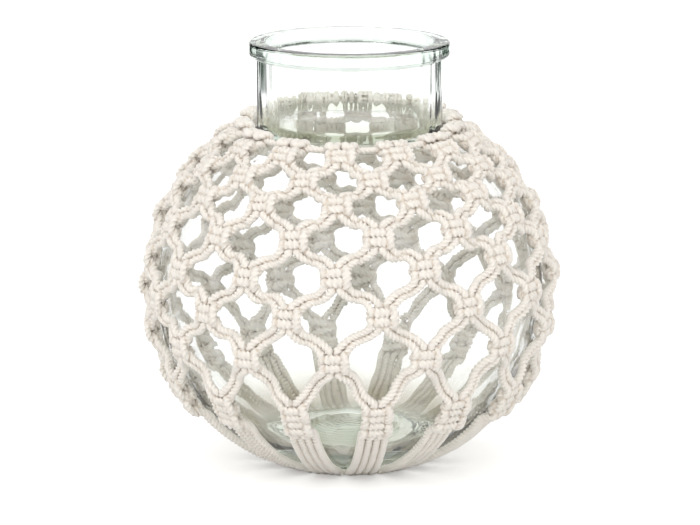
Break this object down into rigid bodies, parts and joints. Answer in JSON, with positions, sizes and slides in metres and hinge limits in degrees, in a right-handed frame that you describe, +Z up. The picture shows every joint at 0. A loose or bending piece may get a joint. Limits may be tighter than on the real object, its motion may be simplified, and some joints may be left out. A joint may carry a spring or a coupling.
{
  "type": "glass ball vase",
  "caption": "Squat glass ball vase with a short wide neck and a banded rim, held from neck to foot in a net of knotted cotton cord; holds water and cut stems.",
  "frame": {"origin": "on the floor under the middle of the foot", "axes": "+Z up along the vase's axis, towards the mouth; -Y towards the viewer of the picture"},
  "size_m": [0.2508, 0.2502, 0.256],
  "materials": {
    "glass": "clear, smooth, faintly green where it is thick",
    "cord": "undyed three-strand twisted cotton, matt and slightly fuzzy"
  },
  "bodies": {
    "root": {"glass_vase": "glass", "hold_cord": "cord", "ring_cord": "cord", "cord_01": "cord", "cord_02": "cord", "cord_03": "cord", "cord_04": "cord", "cord_05": "cord", "cord_06": "cord", "cord_07": "cord", "cord_08": "cord", "cord_09": "cord", "cord_10": "cord", "cord_11": "cord", "cord_12": "cord", "cord_13": "cord", "cord_14": "cord", "cord_15": "cord", "cord_16": "cord", "cord_17": "cord", "cord_18": "cord", "cord_19": "cord", "cord_20": "cord", "cord_21": "cord", "cord_22": "cord", "cord_23": "cord", "cord_24": "cord", "cord_25": "cord", "cord_26": "cord", "cord_27": "cord", "cord_28": "cord"}
  },
  "joints": []
}
